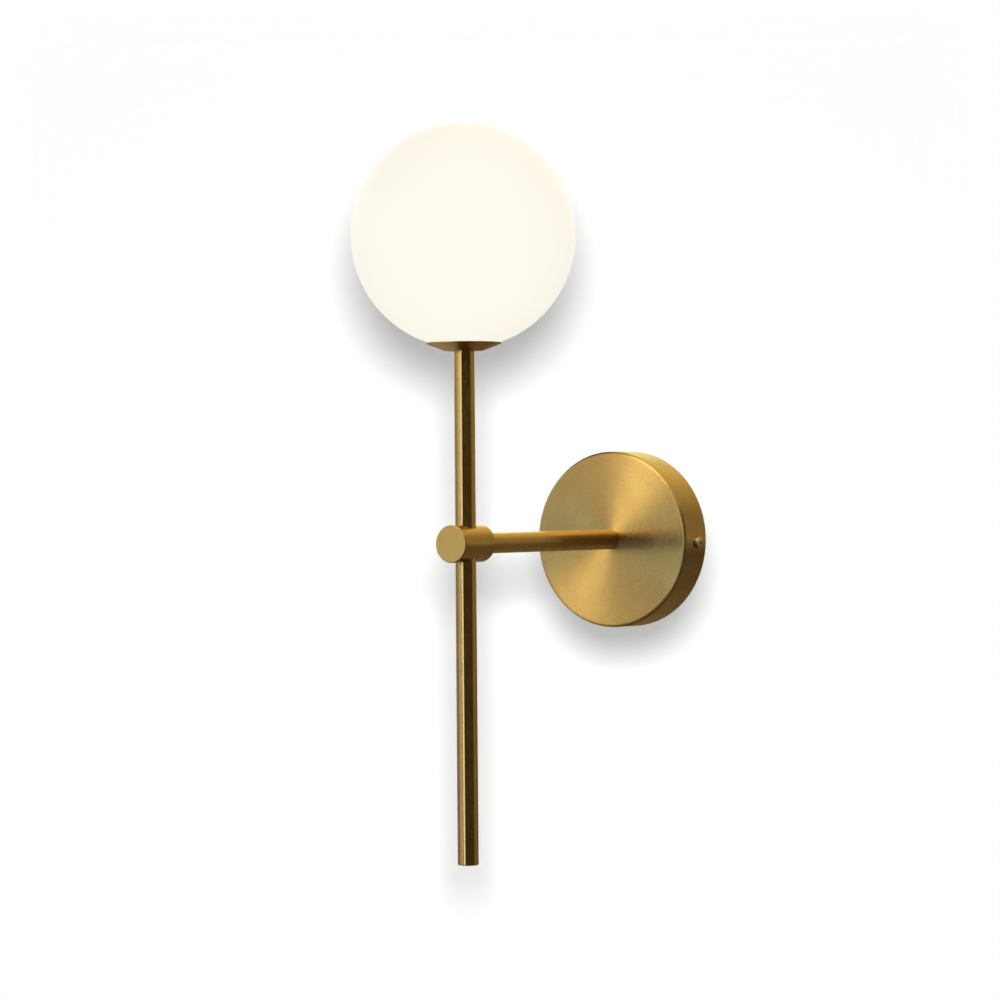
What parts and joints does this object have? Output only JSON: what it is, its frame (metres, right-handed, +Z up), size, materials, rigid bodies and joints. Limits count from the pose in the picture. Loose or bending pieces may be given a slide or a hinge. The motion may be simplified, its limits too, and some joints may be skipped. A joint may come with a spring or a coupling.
{
  "type": "wall sconce",
  "caption": "Wall light: round canopy, straight arm with a turned cross boss, slim stem above and below it, opal glass globe on a shallow cup.",
  "frame": {"origin": "on the wall plane, midway between the two wall screw slots of the bracket, which is the centre of the round canopy", "axes": "+Y into the wall, so the lamp stands out along -Y; +Z up along the stem towards the globe; +X to the right of someone facing the wall"},
  "size_m": [0.15, 0.2785, 0.4949],
  "materials": {
    "brushed_brass": "brushed, satin lacquer",
    "plain_brass": "machined",
    "zinc_steel": "zinc plated",
    "screw_brass": "plated, satin",
    "opal_glass": "opal, satin outside",
    "clear_tube": "clear",
    "ceramic": "unglazed",
    "white_moulding": "moulded",
    "black_rubber": "moulded",
    "silicone": "translucent",
    "board_white": "printed board",
    "chip_yellow": "phosphor",
    "lead_brown": "silicone insulation",
    "lead_blue": "silicone insulation",
    "lead_earth": "silicone insulation",
    "tinned_copper": "tinned"
  },
  "bodies": {
    "root": {"wall_bracket": "zinc_steel", "cable_grommet": "black_rubber", "terminal_block": "white_moulding", "terminal_clamps": "plain_brass", "terminal_screws": "zinc_steel", "block_screw": "zinc_steel", "earth_screw": "plain_brass", "earth_lugs": "tinned_copper", "earth_lead": "lead_earth", "canopy": "brushed_brass", "canopy_screws": "screw_brass", "canopy_nipple": "zinc_steel", "canopy_washer": "zinc_steel", "lock_washer": "zinc_steel", "canopy_nut": "zinc_steel", "arm_tube": "brushed_brass", "arm_bushes": "zinc_steel", "arm_nipple": "zinc_steel", "cross_boss": "brushed_brass", "stem_nipples": "zinc_steel", "upper_tube": "brushed_brass", "upper_tube_bushes": "zinc_steel", "lower_tube": "brushed_brass", "lower_tube_bush": "zinc_steel", "lower_tube_plug": "brushed_brass", "shade_cup": "brushed_brass", "holder_nipple": "zinc_steel", "holder_sleeve": "zinc_steel", "holder_strap": "zinc_steel", "holder_nut": "zinc_steel", "lampholder_body": "ceramic", "holder_screws": "zinc_steel", "holder_contacts": "tinned_copper", "shade_gasket": "silicone", "live_lead": "lead_brown", "neutral_lead": "lead_blue"},
    "globe": {"globe_shade": "opal_glass", "shade_insert": "zinc_steel"},
    "bulb": {"bulb_base": "white_moulding", "bulb_pins": "tinned_copper", "bulb_envelope": "clear_tube", "led_board": "board_white", "led_chips": "chip_yellow"}
  },
  "joints": [
    {"name": "globe_lift", "type": "slide", "parent": "root", "child": "globe", "axis": [0, 0, 1], "range_m": [0, 0.09]},
    {"name": "bulb_pull", "type": "slide", "parent": "root", "child": "bulb", "axis": [0, 0, 1], "range_m": [0, 0.03]}
  ]
}
